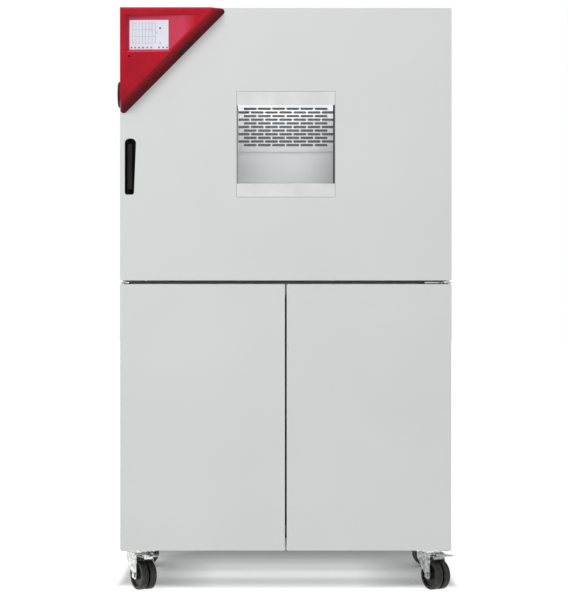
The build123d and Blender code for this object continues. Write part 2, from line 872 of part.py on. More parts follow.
def lower_door(side):
    width = (cabinet_width - lower_door_split) / 2
    x = side * (half_width - width / 2)
    z = base_height + lower_door_height / 2
    door = slab(rounded(width, lower_door_height, 3.0, x, z), front_y, lower_door_thickness)
    edge = 2 * sheet
    inner = rounded(width - edge, lower_door_height - edge, 1.0, x, z)
    door -= slab(inner, front_y + sheet, lower_door_thickness - 2 * sheet)
    lip = 16.0
    inner = Pos(x, z) * Rectangle(width - 2 * lip, lower_door_height - 2 * lip)
    door -= slab(inner, lower_back - sheet, sheet)
    for part in (-0.25, 0.25):
        rail = z + part * lower_door_height
        half = width / 2 - lip - 2.0
        door += block((x - half, x + half), (front_y + sheet, front_y + 14.0), (rail - 20, rail + 20))
        door -= block((x - half, x + half), (front_y + sheet, front_y + 12.0), (rail - 18, rail + 18))
    for start, way in ((base_height, 1), (lower_top, -1)):
        boss = (side * pivot_x, pivot_y, start)
        end = (side * pivot_x, pivot_y, start + way * (lower_pin_length + 4.0))
        door += rod(lower_pin_radius + 2.5, boss, end)
        end = (side * pivot_x, pivot_y, start + way * (lower_pin_length + 1.0))
        door -= rod(lower_pin_radius + running_fit, boss, end)
    return door


def hinge_tongue(x, y, z, back, reach, tip):
    # a flat tongue from the body forward to a rounded end over the pin
    side = 1 if x > 0 else -1
    outer = side * (half_width - 1.0)
    inner = outer - side * reach
    plate = block((inner, outer), (y, back), z)
    plate += block((inner, outer), (y - tip, y), z)
    edges = plate.edges().filter_by(Axis.Z).group_by(Axis.Y)[0]
    return fillet(edges, min(5.0, tip * 0.6))


def centre_hinge_bracket():
    low = centre_plate_z
    high = low + hinge_plate
    plate = hinge_tongue(hinge_x, hinge_y, (low, high), body_front - fit, hinge_reach, 14.0)
    nose = block((pivot_x - 12, half_width - 1.0), (pivot_y - 7, hinge_y - 13), (low, high))
    plate += nose
    washer = upper_bottom - fit
    plate += rod(hinge_pin_radius + 4.0, (hinge_x, hinge_y, high), (hinge_x, hinge_y, washer))
    pin_end = (hinge_x, hinge_y, upper_bottom + hinge_pin_length)
    plate += rod(hinge_pin_radius, (hinge_x, hinge_y, high), pin_end)
    plate += rod(lower_pin_radius, (pivot_x, pivot_y, low), (pivot_x, pivot_y, lower_top - lower_pin_length))
    return plate


def top_hinge():
    low = top_z + 1.0
    plate = hinge_tongue(hinge_x, hinge_y, (low, low + hinge_plate), body_front - fit, hinge_reach, 14.0)
    leg = (half_width - 1.0 - hinge_reach, half_width - 1.0)
    plate += block(leg, (body_front - fit - 3.0, body_front - fit), (low - 40.0, low + hinge_plate))
    pin_end = (hinge_x, hinge_y, top_z - hinge_pin_length)
    return plate + rod(hinge_pin_radius, (hinge_x, hinge_y, low), pin_end)


def hinge_brackets():
    # the upper door's top hinge and the lower doors' three outer pivots
    pivots = [top_hinge()]
    low = centre_plate_z
    back = body_front - fit
    upper = hinge_tongue(-pivot_x, pivot_y, (low, low + 3.0), back, 24.0, 7.0)
    upper += rod(lower_pin_radius, (-pivot_x, pivot_y, low), (-pivot_x, pivot_y, lower_top - lower_pin_length))
    pivots.append(upper)
    high = base_height - 0.5
    for side in (-1, 1):
        reach = 2 * lower_pivot_inset + 1.0
        foot = hinge_tongue(side * pivot_x, pivot_y, (high - 3.0, high), back, reach, 7.0)
        end = (side * pivot_x, pivot_y, base_height + lower_pin_length)
        pivots.append(foot + rod(lower_pin_radius, (side * pivot_x, pivot_y, high), end))
    return Compound(children=pivots)


# Casters

def caster_plates():
    plates = []
    for x, y in caster_places().values():
        plate = Pos(x, y) * RectangleRounded(caster_plate_width, caster_plate_depth, 6.0)
        plate = extrude(Pos(0, 0, plate_bottom) * plate, amount=caster_plate - fit)
        plate += rod(26.0, (x, y, plate_bottom), (x, y, race_bottom))
        rivet = fork_top - fork_sheet - fit
        plate += rod(kingpin_radius, (x, y, race_bottom), (x, y, rivet - 4.0))
        plate += rod(kingpin_radius + 4.0, (x, y, rivet), (x, y, rivet - 4.0))
        plates.append(plate)
    return Compound(children=plates)


def caster_frame(x, y):
    # local x is the way the wheel trails from the pivot: forwards in front, outwards at the rear
    heading = radians(caster_yaw if y < 0 else rear_caster_yaw * (1 if x > 0 else -1))
    return Plane(origin=(x, y, 0), x_dir=(sin(heading), -cos(heading), 0), z_dir=(0, 0, 1))


def axle_rod(radius, start, end):
    return rod(radius, (caster_trail, start, wheel_radius), (caster_trail, end, wheel_radius))


def caster_fork(x, y):
    frame = caster_frame(x, y)
    outer = leg_inner + fork_sheet
    crown = extrude(RectangleRounded(56, 2 * outer, 8.0), amount=fork_sheet)
    crown = Pos(-2, 0, fork_top - fork_sheet) * crown
    low = fork_top - fork_sheet
    profile = make_face(
        Polyline((-30, low + 2), (-30, low - 12), (caster_trail - 11, wheel_radius),
                 (caster_trail + 11, wheel_radius), (caster_trail + 9, low - 22), (26, low - 10), (26, low + 2),
                 close=True)
    )
    profile += Pos(caster_trail, wheel_radius) * Circle(11.0)
    fork = crown
    for side in (-1, 1):
        face = Plane(origin=(0, side * outer, 0), x_dir=(1, 0, 0), z_dir=(0, -1, 0)) * profile
        fork += extrude(face, amount=side * fork_sheet)
    fork -= rod(kingpin_radius + running_fit, (0, 0, low - 1), (0, 0, fork_top + 1))
    along, z = pedal_axis()
    ear = pedal_width / 2 + fit
    for side in (-1, 1):
        fork += block((along - 17, along + 4), (side * ear, side * (ear + fork_sheet)), (z - 5, fork_top))
    fork += rod(pedal_pin, (along, -ear - 1, z), (along, ear + 1, z))
    fork += axle_rod(axle_radius, -outer - 5.0, outer + 5.0)
    for side in (-1, 1):
        fork += axle_rod(7.0, side * outer, side * (outer + 5.0))
    return frame * fork


def caster_wheel(x, y):
    half = tyre_width / 2
    wheel = Part()
    for side in (-1, 1):
        centre = side * (wheel_gap / 2 + half)
        tyre = axle_rod(wheel_radius, centre - half, centre + half)
        tyre = fillet(tyre.edges(), 4.0)
        face = side * wheel_half
        dish = axle_rod(wheel_radius - 9, face, face - side * 5)
        hub = axle_rod(12.0, face, face - side * 5)
        wheel += tyre - (dish - hub)
    wheel += axle_rod(14.0, -half, half)
    span = wheel_half + 1.0
    bore = axle_rod(axle_radius + running_fit, -span, span)
    return caster_frame(x, y) * (wheel - bore)


def pedal_axis():
    return 31.0, fork_top - 4.0


def caster_brake(x, y):
    along, z = pedal_axis()
    arm = make_face(
        Polyline((along - 3.5, z - 3), (along - 3.5, z + 3), (along + 12, z + 3.2), (along + 50, z + 5),
                 (along + 53, z + 2), (along + 50, z - 0.5), (along + 10, z - 2), (along + 3.5, z - 3), close=True)
    )
    plane = Plane(origin=(0, pedal_width / 2, 0), x_dir=(1, 0, 0), z_dir=(0, -1, 0))
    pedal = extrude(plane * arm, amount=pedal_width)
    pedal -= rod(pedal_pin + running_fit, (along, -pedal_width, z), (along, pedal_width, z))
    return caster_frame(x, y) * pedal


# Machine compartment

def compressor():
    base = pan_z + sheet
    x, y = compressor_x, compressor_y
    foot = 18.0
    low = base + foot
    r, h = compressor_radius, compressor_height
    shell = rod(r, (0, 0, low), (0, 0, low + h))
    shell = fillet(shell.edges().group_by(Axis.Z)[-1], r * 0.55)
    shell = fillet(shell.edges().group_by(Axis.Z)[0], r * 0.25)
    shell += Pos(0, 0, low + h * 0.45) * Cylinder(r + 3.0, 8.0)
    plate = Pos(0, 0, low - 1) * Box(2 * r + 10, 2 * r + 10, 3.0)
    shell += plate
    for sx in (-1, 1):
        for sy in (-1, 1):
            at = (sx * (r - 6), sy * (r - 6))
            shell += rod(11.0, (at[0], at[1], base + fit), (at[0], at[1], low))
    shell += block((-30, 30), (-r - 22, -r * 0.7), (low + h * 0.62, low + h * 0.62 + 50))
    for sx in (-1, 1):
        shell += rod(6.0, (sx * r * 0.5, 0, low + h * 0.8), (sx * r * 0.5, 0, low + h + 24))
    return Pos(x, y) * shell


def condenser_level():
    return pan_z + sheet + 6.0 + condenser_height / 2


def condenser_y():
    return inside_y - 20.0 - condenser_depth / 2


def condenser_coil():
    centre = (condenser_x, condenser_y(), condenser_level())
    coil = finned_coil(condenser_width, condenser_height, condenser_depth, centre, 8, 17)
    base = pan_z + sheet + fit
    low = condenser_level() - condenser_height / 2
    for side in (-1, 1):
        x = condenser_x + side * (condenser_width / 2 - 12)
        coil += block((x - 0.5, x + 6), (centre[1] - 20, centre[1] + 20), (base, low + 10))
    return coil


def shroud_span():
    back = condenser_y() - condenser_depth / 2 - fit
    return back - 44.0, back


def condenser_fan_shroud():
    start, back = shroud_span()
    z = condenser_level()
    plate = Pos(condenser_x, z) * Rectangle(condenser_width, condenser_height)
    plate -= Pos(condenser_x, z) * Circle(condenser_fan_radius + 6.0)
    shroud = slab(plate, back - 3.0, 3.0)
    ring_outer = condenser_fan_radius + 9.0
    tube = Pos(condenser_x, z) * (Circle(ring_outer) - Circle(ring_outer - 3.0))
    shroud += slab(tube, start, back - start)
    motor = rod(26.0, (condenser_x, start - 40, z), (condenser_x, start, z))
    shroud += motor
    for angle in (45, 135, 225, 315):
        arm = block((0, ring_outer - 1), (start - 4, start), (-5, 5))
        shroud += Pos(condenser_x, 0, z) * (Rot(0, angle, 0) * arm)
    low = z - condenser_height / 2
    foot = (pan_z + sheet + fit, low + 2)
    shroud += block((condenser_x - 150, condenser_x + 150), (back - 30, back), foot)
    bore = rod(4.0 + running_fit, (condenser_x, start - 20, z), (condenser_x, start + 1, z))
    return shroud - bore


def condenser_fan():
    start, back = shroud_span()
    z = condenser_level()
    hub = rod(30.0, (0, start + 4, 0), (0, start + 30, 0))
    hub += rod(4.0, (0, start - 19, 0), (0, start + 5, 0))
    for i in range(5):
        blade = block((20, condenser_fan_radius), (-1.2, 1.2), (-34, 34))
        blade = Pos(0, start + 17, 0) * (Rot(20, 0, 0) * (Rot(-90, 0, 0) * Rot(90, 0, 0) * blade))
        hub += Rot(0, 72.0 * i, 0) * (blade & fan_disc(start))
    return Pos(condenser_x, 0, z) * hub


def fan_disc(start):
    return rod(condenser_fan_radius, (0, start + 3, 0), (0, start + 40, 0))


def steam_humidifier():
    x, y = humidifier_place()
    hang = deck_z - sheet - fit
    top = hang - 30.0
    tank = rod(humidifier_radius, (x, y, top - humidifier_height), (x, y, top))
    tank = fillet(tank.edges(), 10.0)
    tank += rod(34.0, (x, y, top - 2), (x, y, hang))
    tank += rod(steam_pipe_radius, (x, y, hang - 1), (x, y, chamber_floor + 12.0))
    return tank


def water_cans():
    cans = []
    base = pan_z + sheet + fit
    for i in range(2):
        x = -inner_x + 20.0 + can_width / 2 + i * (can_width + 14.0)
        y = body_front + 20.0 + can_depth / 2
        can = Pos(x, y, base + can_height / 2) * Box(can_width, can_depth, can_height)
        can = fillet(can.edges().filter_by(Axis.Z), 22.0)
        can = fillet(can.edges().group_by(Axis.Z)[-1], 16.0)
        neck = (x, y - can_depth * 0.25, base + can_height - 1)
        can += rod(24.0, neck, (neck[0], neck[1], neck[2] + 18))
        grip_z = base + can_height
        can += block((x - 12, x + 12), (y + 8, y + 80), (grip_z - 2, grip_z + 24))
        can -= block((x - 13, x + 13), (y + 20, y + 68), (grip_z, grip_z + 14))
        cans.append(can)
    return Compound(children=cans)


def electrical_x():
    return -inner_x + 30.0 + box_width / 2


def electrical_box():
    x = electrical_x()
    high = deck_z - 40.0
    y = (inside_y - box_depth, inside_y - fit)
    box = block((x - box_width / 2, x + box_width / 2), y, (high - box_height, high))
    box = fillet(box.edges().filter_by(Axis.Z).group_by(Axis.Y)[0], 4.0)
    half = box_width / 2 + 3
    lid = block((x - half, x + half), (y[0] - 3, y[0] + 12), (high - box_height - 3, high + 3))
    return box + fillet(lid.edges().group_by(Axis.Y)[0], 2.0)


def power_gland():
    x, z = fitting_places()["power"]
    gland = rod(8.0, (x, inside_y - 12, z), (x, rear_y + 20, z))
    nut = Plane(origin=(x, rear_y + fit, z), x_dir=(1, 0, 0), z_dir=(0, 1, 0)) * RegularPolygon(14.0, 6)
    gland += extrude(nut, amount=7.0)
    gland += rod(11.5, (x, rear_y + 7, z), (x, rear_y + 22, z))
    gland += rod(14.0, (x, inside_y - 5, z), (x, inside_y - fit, z))
    return gland - rod(5.0, (x, inside_y - 13, z), (x, rear_y + 23, z))


def hose_barb(name):
    x, z = fitting_places()[name]
    barb = rod(8.0, (x, inside_y - 16, z), (x, rear_y + 7, z))
    nut = Plane(origin=(x, rear_y + fit, z), x_dir=(1, 0, 0), z_dir=(0, 1, 0)) * RegularPolygon(13.0, 6)
    barb += extrude(nut, amount=6.0)
    barb += rod(hose_radius(), (x, rear_y, z), (x, rear_y + 32.0, z))
    return barb + rod(14.0, (x, inside_y - 5, z), (x, inside_y - fit, z))


def hose_radius():
    return 6.0


def switch_plate():
    x = (half_width + fit, half_width + 5.0)
    half = switch_radius + 10.0
    plate = block(x, (switch_y - half, switch_y + half), (switch_z - half, switch_z + half))
    plate = fillet(plate.edges().filter_by(Axis.X), 6.0)
    plate += rod(switch_radius * 0.5 - fit, (half_width - 14, switch_y, switch_z), (x[1], switch_y, switch_z))
    bore = rod(3.0 + running_fit, (half_width - 10, switch_y, switch_z), (x[1] + 1, switch_y, switch_z))
    return plate - bore


def main_switch_knob():
    start = half_width + 5.0 + fit
    end = half_width + switch_out
    knob = rod(switch_radius, (start, switch_y, switch_z), (start + 6, switch_y, switch_z))
    half = switch_radius - 2
    grip = block((start + 5, end), (switch_y - 6, switch_y + 6), (switch_z - half, switch_z + half))
    knob += fillet(grip.edges().filter_by(Axis.X), 4.0)
    return knob + rod(3.0, (half_width - 9, switch_y, switch_z), (start + 1, switch_y, switch_z))


def assembly():
    nodes = {
        "base_frame": base_frame(),
        "side_panel_left": side_panel(-1),
        "side_panel_right": side_panel(1),
        "lower_front_frame": lower_front_frame(),
        "mid_deck": mid_deck(),
        "top_panel": top_panel(),
        "upper_rear_panel": upper_rear_panel(),
        "machine_rear_panel": machine_rear_panel(),
        "front_frame": front_frame(),
        "chamber_insulation": chamber_insulation(),
        "inner_vessel": inner_vessel(),
        "air_baffle": air_baffle(),
        "shelf_rails": shelf_rails(),
        "shelf": shelf(),
        "evaporator_coil": evaporator_coil(),
        "heater_coil": heater_coil(),
        "fan_motor": fan_motor(),
        "fan_impeller": fan_impeller(),
        "climate_probe": climate_probe(),
        "chamber_lamp": chamber_lamp(),
        "port_sleeve": port_sleeve(),
        "port_plug": port_plug(),
        "door_outer_skin": door_outer_skin(),
        "door_insulation": door_insulation(),
        "door_inner_liner": door_inner_liner(),
        "door_gasket": door_gasket(),
        "window_frame": window_frame(),
        "window_panes": window_panes(),
        "door_hinge_bushes": door_hinge_bushes(),
        "handle_pocket": handle_pocket(),
        "handle_lever": handle_lever(),
        "controller_housing": controller_housing(),
        "touch_display": touch_display(),
        "port_cover": port_cover(),
        "lower_door_left": lower_door(-1),
        "lower_door_right": lower_door(1),
        "centre_hinge_bracket": centre_hinge_bracket(),
        "hinge_brackets": hinge_brackets(),
        "caster_plates": caster_plates(),
        "compressor": compressor(),
        "condenser_coil": condenser_coil(),
        "condenser_fan_shroud": condenser_fan_shroud(),
        "condenser_fan": condenser_fan(),
        "steam_humidifier": steam_humidifier(),
        "water_cans": water_cans(),
        "electrical_box": electrical_box(),
        "power_gland": power_gland(),
        "water_fittings": Compound(children=[hose_barb("inlet"), hose_barb("drain")]),
        "main_switch_plate": switch_plate(),
        "main_switch_knob": main_switch_knob(),
    }
    for name, (x, y) in caster_places().items():
        nodes["caster_fork_" + name] = caster_fork(x, y)
        nodes["caster_wheel_" + name] = caster_wheel(x, y)
        if y < 0:
            nodes["caster_brake_" + name] = caster_brake(x, y)
    return nodes


os.makedirs("parts", exist_ok=True)
for node, shape in assembly().items():
    export_step(shape, "parts/" + node + ".step")
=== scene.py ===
import math

import bpy
import numpy as np
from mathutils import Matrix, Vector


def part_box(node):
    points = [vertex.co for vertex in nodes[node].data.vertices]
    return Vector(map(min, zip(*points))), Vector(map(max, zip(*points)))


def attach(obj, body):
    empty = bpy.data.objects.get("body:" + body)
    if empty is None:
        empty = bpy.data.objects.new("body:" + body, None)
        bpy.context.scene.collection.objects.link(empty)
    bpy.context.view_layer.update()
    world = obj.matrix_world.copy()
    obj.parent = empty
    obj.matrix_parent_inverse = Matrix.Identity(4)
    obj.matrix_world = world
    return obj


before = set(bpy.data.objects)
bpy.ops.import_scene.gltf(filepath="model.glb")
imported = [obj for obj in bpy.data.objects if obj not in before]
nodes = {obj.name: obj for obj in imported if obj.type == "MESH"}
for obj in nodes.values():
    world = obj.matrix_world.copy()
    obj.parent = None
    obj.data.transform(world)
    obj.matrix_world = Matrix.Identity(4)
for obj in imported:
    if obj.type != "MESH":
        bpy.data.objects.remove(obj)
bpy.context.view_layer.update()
scene = bpy.context.scene
print("frame loaded with", len(nodes), "nodes")


def linear(hexColour):
    # sRGB hex to the linear values that Blender's sockets take
    parts = [int(hexColour[i:i + 2], 16) / 255 for i in (1, 3, 5)]
    return [c / 12.92 if c <= 0.04045 else ((c + 0.055) / 1.055) ** 2.4 for c in parts] + [1.0]


def addNode(tree, kind, inputs=None, links=None, **settings):
    node = tree.nodes.new(kind)
    for name, value in settings.items():
        setattr(node, name, value)
    for name, value in (inputs or {}).items():
        node.inputs[name].default_value = value
    for name, socket in (links or {}).items():
        tree.links.new(socket, node.inputs[name])
    return node


def startMaterial(name, **values):
    material = bpy.data.materials.new(name)
    material.use_nodes = True
    tree = material.node_tree
    tree.nodes.clear()
    shader = addNode(tree, "ShaderNodeBsdfPrincipled", inputs=values)
    addNode(tree, "ShaderNodeOutputMaterial", links={"Surface": shader.outputs["BSDF"]})
    place = addNode(tree, "ShaderNodeTexCoord").outputs["Object"]
    return material, tree, shader, place


def openMaterial(material):
    # the tree, shader, object coordinates and mottled colour of a finish that another one adds to
    byType = {node.type: node for node in material.node_tree.nodes}
    return (material.node_tree, byType["BSDF_PRINCIPLED"],
            byType["TEX_COORD"].outputs["Object"], byType["VALTORGB"].outputs["Color"])


def mottle(tree, shader, place, light, dark, size, detail=3.0, low=0.35, high=0.65):
    # a slow change between two near colours, size in metres
    noise = addNode(tree, "ShaderNodeTexNoise", {"Scale": 1 / size, "Detail": detail}, {"Vector": place})
    ramp = addNode(tree, "ShaderNodeValToRGB", links={"Fac": noise.outputs["Fac"]})
    for stop, position, colour in zip(ramp.color_ramp.elements, (low, high), (dark, light)):
        stop.position = position
        stop.color = linear(colour)
    tree.links.new(ramp.outputs["Color"], shader.inputs["Base Color"])


def grain(tree, shader, place, size, depth, stretch=(1, 1, 1), low=None, high=None, strength=0.5):
    # fine relief; size and depth in metres; stretch lengthens the grain along an axis
    stretched = addNode(tree, "ShaderNodeMapping", {"Scale": stretch}, {"Vector": place}).outputs["Vector"]
    noise = addNode(tree, "ShaderNodeTexNoise", {"Scale": 1 / size, "Detail": 2.0}, {"Vector": stretched})
    height = noise.outputs["Fac"]
    bump = addNode(tree, "ShaderNodeBump", {"Strength": strength, "Distance": depth}, {"Height": height})
    tree.links.new(bump.outputs["Normal"], shader.inputs["Normal"])
    if low is not None:
        spread = addNode(tree, "ShaderNodeMapRange", {"To Min": low, "To Max": high}, {"Value": height})
        tree.links.new(spread.outputs["Result"], shader.inputs["Roughness"])


def powderCoat(name, light, dark):
    # polyester powder coat on sheet steel: even, satin, with the faint orange peel of a baked film
    material, tree, shader, place = startMaterial(name, Roughness=0.5)
    mottle(tree, shader, place, light, dark, 0.35)
    grain(tree, shader, place, 0.004, 0.00012, low=0.38, high=0.46, strength=0.25)
    return material


def zincSheet():
    # galvanised sheet: grey with the pale and dark crystals of the zinc bath, about 12 mm across
    material, tree, shader, place = startMaterial("galvanisedSheet", Metallic=0.9, Roughness=0.45)
    cells = addNode(tree, "ShaderNodeTexVoronoi", {"Scale": 1 / 0.012}, {"Vector": place})
    ramp = addNode(tree, "ShaderNodeValToRGB", links={"Fac": cells.outputs["Color"]})
    for stop, colour in zip(ramp.color_ramp.elements, ("#9A9C9D", "#B9BBBC")):
        stop.color = linear(colour)
    tree.links.new(ramp.outputs["Color"], shader.inputs["Base Color"])
    grain(tree, shader, place, 0.006, 0.0001, low=0.38, high=0.52, strength=0.2)
    return material


def stainless(name, light, dark, stretch, low=0.24, high=0.38):
    # stainless sheet with a mill grind: fine lines that run one way and smear the reflections
    material, tree, shader, place = startMaterial(name, Metallic=1.0, Roughness=0.3)
    mottle(tree, shader, place, light, dark, 0.12)
    grain(tree, shader, place, 0.0011, 0.00005, stretch, low, high, strength=0.3)
    return material


def paintedShadeSteel(name, start, blend, paintedShade):
    # the same ground sheet with painted shade behind the baffle, where y passes start, so that its slots look dark
    material = stainless(name, "#DADEE0", "#CFD3D5", (0.05, 1, 1))
    tree, shader, place, tone = openMaterial(material)
    parts = addNode(tree, "ShaderNodeSeparateXYZ", links={"Vector": place})
    behind = addNode(tree, "ShaderNodeMapRange", {"From Min": start, "From Max": start + blend},
                     {"Value": parts.outputs["Y"]})
    mix = addNode(tree, "ShaderNodeMix", {7: linear(paintedShade)}, {0: behind.outputs["Result"], 6: tone},
                  data_type="RGBA")
    tree.links.new(mix.outputs[2], shader.inputs["Base Color"])
    return material


def zincPlate():
    # bright zinc on pressed steel: pale, slightly cloudy metal
    material, tree, shader, place = startMaterial("brightZincPlate", Metallic=1.0, Roughness=0.25)
    mottle(tree, shader, place, "#D2D3D1", "#8E9090", 0.009)
    grain(tree, shader, place, 0.0015, 0.00006, low=0.2, high=0.36, strength=0.3)
    return material


def mouldedPlastic(name, light, dark, roughness, size=0.0018, depth=0.00008, specular=0.35):
    # injection moulded plastic with the spark-eroded texture of the tool, which scatters its reflections
    material, tree, shader, place = startMaterial(name, Roughness=roughness)
    shader.inputs["Specular IOR Level"].default_value = specular
    mottle(tree, shader, place, light, dark, 0.06)
    grain(tree, shader, place, size, depth, low=roughness - 0.05, high=roughness + 0.07, strength=0.3)
    return material


# the recess's paler tone is painted light; the darker lower and rim tones are painted shade
housingSettings = {
    "light": "#B41528", "dark": "#A41124", "roughness": 0.45, "specular": 0.12,
    "recessTone": "#D2506C", "recessShare": 0.55, "recessDepth": (0.001, 0.003), "recessLeft": (0.008, 0.010),
    "recessTop": (0.008, 0.012), "recessRim": (0.030, 0.034),
    "lowerTone": "#6A0C18", "lowerShare": 0.35, "lowerStart": 0.12,
    "rimTone": "#3C060C", "rimShare": 0.85, "rimStart": 0.026, "rimEnd": 0.002,
}


def redPlastic(name):
    # textured red plastic, paler in the recess, which is painted light, and darker towards the lower tip and the
    # sloping rim, which is painted shade; the rim lies where x - z is largest
    s = housingSettings
    material = mouldedPlastic(name, s["light"], s["dark"], s["roughness"], specular=s["specular"])
    tree, shader, place, tone = openMaterial(material)
    low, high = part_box("controller_housing")
    parts = addNode(tree, "ShaderNodeSeparateXYZ", links={"Vector": place})
    x, y, z = (parts.outputs[axis] for axis in "XYZ")
    slope = addNode(tree, "ShaderNodeMath", links={0: x, 1: z}, operation="SUBTRACT").outputs[0]
    rim = low.x - low.z
    # each mask goes from 0 to 1 between two places
    masks = [
        addNode(tree, "ShaderNodeMapRange", {"From Min": start, "From Max": end}, {"Value": along}).outputs["Result"]
        for along, start, end in (
            (y, low.y + s["recessDepth"][0], low.y + s["recessDepth"][1]),
            (x, low.x + s["recessLeft"][0], low.x + s["recessLeft"][1]),
            (z, high.z - s["recessTop"][0], high.z - s["recessTop"][1]),
            (slope, rim - s["recessRim"][0], rim - s["recessRim"][1]),
            (z, high.z - s["lowerStart"], low.z),
            (slope, rim - s["rimStart"], rim - s["rimEnd"]),
        )
    ]
    recess = masks[0]
    for mask in masks[1:4]:
        recess = addNode(tree, "ShaderNodeMath", links={0: recess, 1: mask}, operation="MULTIPLY").outputs[0]
    # painted light in the recess, painted shade at the lower tip and along the rim
    for mask, part in ((recess, "recess"), (masks[4], "lower"), (masks[5], "rim")):
        share = addNode(tree, "ShaderNodeMath", {1: s[part + "Share"]}, {0: mask}, operation="MULTIPLY")
        tone = addNode(tree, "ShaderNodeMix", {7: linear(s[part + "Tone"])}, {0: share.outputs[0], 6: tone},
                       data_type="RGBA").outputs[2]
    tree.links.new(tone, shader.inputs["Base Color"])
    return material


def rubber(name, light, dark, roughness):
    # moulded rubber: dull, a little dusty in the hollows
    material, tree, shader, place = startMaterial(name, Roughness=roughness)
    shader.inputs["Specular IOR Level"].default_value = 0.2
    mottle(tree, shader, place, light, dark, 0.02, detail=5.0)
    grain(tree, shader, place, 0.0012, 0.0001, low=roughness - 0.08, high=roughness + 0.1, strength=0.4)
    return material


def foam():
    # foamed polyurethane: warm yellow with open pores of about 2 mm
    material, tree, shader, place = startMaterial("polyurethaneFoam", Roughness=0.9)
    mottle(tree, shader, place, "#DCCFA4", "#C9B98A", 0.02, detail=5.0)
    grain(tree, shader, place, 0.002, 0.0006, strength=0.8)
    return material


def clearGlass():
    # toughened low-iron glass with an anti-glare coating; shadow and diffuse rays pass straight through
    material, tree, shader, place = startMaterial("floatGlass", Roughness=0.0, IOR=1.5)
    shader.inputs["Transmission Weight"].default_value = 1.0
    shader.inputs["Specular IOR Level"].default_value = 0.06
    shader.inputs["Base Color"].default_value = linear("#FEFEFD")
    clear = addNode(tree, "ShaderNodeBsdfTransparent", {"Color": linear("#FEFEFD")})
    rays = addNode(tree, "ShaderNodeLightPath").outputs
    through = addNode(tree, "ShaderNodeMath", links={0: rays["Is Shadow Ray"], 1: rays["Is Diffuse Ray"]},
                      operation="MAXIMUM")
    mix = addNode(tree, "ShaderNodeMixShader", links={
        0: through.outputs[0], 1: shader.outputs["BSDF"], 2: clear.outputs["BSDF"]
    })
    out = next(node for node in tree.nodes if node.type == "OUTPUT_MATERIAL")
    tree.links.new(mix.outputs["Shader"], out.inputs["Surface"])
    return material


def lampDiffuser():
    # opal acrylic over a row of lights, which is on
    material, tree, shader, place = startMaterial("opalAcrylic", Roughness=0.4)
    mottle(tree, shader, place, "#FFFFFF", "#F2F4F4", 0.03)
    shader.inputs["Emission Color"].default_value = linear("#F7FAFC")
    shader.inputs["Emission Strength"].default_value = 27.0
    return material


# the dark colour behind the baffle and the black sheet behind its slots are painted shade
baffleSettings = {
    "shadeStart": 0.0093, "blend": 0.0006, "paintedShade": "#15181B", "shadeSheetBehind": 0.002, "side": 0.02, "end": 0.03,
}

powder = powderCoat("powderCoatGrey", "#D6D8D7", "#D3D5D4")
galvanised = zincSheet()
linerSteel = stainless("millGroundStainless", "#D3D6D9", "#C6CACD", (0.05, 1, 1))
# chamber steel with painted shade behind the baffle
chamberSteelPaintedShade = paintedShadeSteel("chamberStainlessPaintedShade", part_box("air_baffle")[0].y + baffleSettings["shadeStart"],
                           baffleSettings["blend"], baffleSettings["paintedShade"])
# wire and rod, drawn and polished: brighter, with no direction
wireSteel = stainless("polishedStainless", "#D6D7D7", "#C4C6C7", (1, 1, 1), 0.14, 0.24)
# rolled and stamped aluminium: soft grey streaks
coilAluminium = stainless("rolledAluminium", "#CBCCCE", "#B4B6B9", (1, 1, 0.2), 0.3, 0.45)
# fins dipped in dark epoxy against corrosion
coatedCoil = mouldedPlastic("epoxyCoatedFins", "#1E2123", "#141617", 0.5)
fanPolyamide = mouldedPlastic("glassFilledPolyamide", "#24262A", "#191B1D", 0.48)
zinc = zincPlate()
redHousing = redPlastic("texturedAbsRedPaintedLightAndShade")
blackPlastic = mouldedPlastic("texturedAbsBlack", "#1B1A18", "#121110", 0.5, specular=0.15)
# black that sends almost no light back, used as painted shade behind and round the baffle's slots
paintedShadeBlack = mouldedPlastic("blackPaintedShade", "#0C0D0D", "#070808", 0.9, specular=0.05)
inkBlack = mouldedPlastic("printedInkBlack", "#24272E", "#1F2228", 0.4, specular=0.2)
inkGrey = mouldedPlastic("printedInkGrey", "#A9AEBC", "#A2A7B5", 0.4, specular=0.2)
# a pale white used as painted light along the window's top
paintedLightWhite = mouldedPlastic("paintedLightStrip", "#F6F8F8", "#EFF2F3", 0.4)
grooveSeal = rubber("extrudedGreySeal", "#A4A6A5", "#9B9D9C", 0.6)
# moulded glass fibre with a smooth pale skin
frameGelcoat = mouldedPlastic("glassFibreGelcoat", "#DFE1E0", "#D6D8D7", 0.38)
# the lit screen under its smooth cover
screenGlass = mouldedPlastic("displayGlass", "#DFE1EB", "#D9DBE6", 0.18, 0.004, 0.00001)
# blow moulded cans: milky, with soft waves
canPlastic = mouldedPlastic("blownPolyethylene", "#E4E6E4", "#D5D8D7", 0.5, 0.004)
blackRubber = rubber("mouldedEpdm", "#1C1C1C", "#101010", 0.6)
# a cast tread, smoother and browner than rubber
tyre = rubber("casterPolyurethane", "#3A3B36", "#1E1E1C", 0.36)
seal = rubber("siliconeSeal", "#2A2B2C", "#1D1E1F", 0.55)
brass = stainless("turnedBrass", "#C9A95C", "#A98845", (1, 1, 1), 0.25, 0.35)
# stoved enamel on the compressor's pressed shell: glossy black
enamel = mouldedPlastic("bakedBlackEnamel", "#191A1B", "#101112", 0.22, 0.006)
glass = clearGlass()
lamp = lampDiffuser()
insulation = foam()

